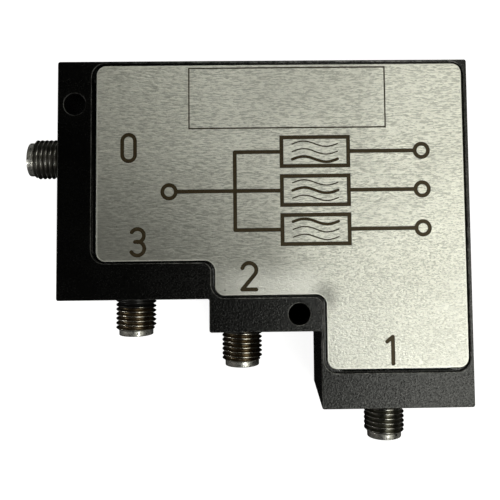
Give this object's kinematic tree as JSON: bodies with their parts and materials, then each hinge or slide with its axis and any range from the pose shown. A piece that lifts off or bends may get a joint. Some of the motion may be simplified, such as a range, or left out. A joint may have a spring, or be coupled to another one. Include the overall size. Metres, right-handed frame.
{
  "type": "rf triplexer",
  "caption": "Stepped black milled block with a brushed nameplate, a common coaxial jack on one side and filtered coaxial jacks along its stepped edge; splits one signal line into bands.",
  "frame": {"origin": "middle of the whole part's box, jacks included, on the plane of the housing's back face", "axes": "+X to the right of the nameplate, away from the common jack; +Y up the nameplate, away from the three stepped jacks; +Z out of the nameplate"},
  "size_m": [0.0678, 0.058, 0.0165],
  "materials": {
    "housing": "matt black paint with a fine speckle",
    "cover": "milled, clear finish",
    "screws": "stainless steel",
    "board": "glass-reinforced fluoropolymer laminate",
    "conductors": "gold-plated copper foil",
    "nameplate": "brushed along its length, clear finish, engraved marks",
    "adhesive": "transfer adhesive film",
    "jack_shell": "turned and passivated stainless steel",
    "jack_insulator": "natural white fluoropolymer",
    "jack_contact": "gold-plated copper alloy"
  },
  "bodies": {
    "root": {"housing": "housing", "channel_cover": "cover", "cover_screws": "screws", "filter_board": "board", "top_conductors": "conductors", "bottom_conductors": "conductors", "nameplate": "nameplate", "nameplate_adhesive": "adhesive", "common_jack_shell": "jack_shell", "common_jack_insulator": "jack_insulator", "common_jack_contact": "jack_contact", "port_1_jack_shell": "jack_shell", "port_1_jack_insulator": "jack_insulator", "port_1_jack_contact": "jack_contact", "port_2_jack_shell": "jack_shell", "port_2_jack_insulator": "jack_insulator", "port_2_jack_contact": "jack_contact", "port_3_jack_shell": "jack_shell", "port_3_jack_insulator": "jack_insulator", "port_3_jack_contact": "jack_contact"}
  },
  "joints": []
}
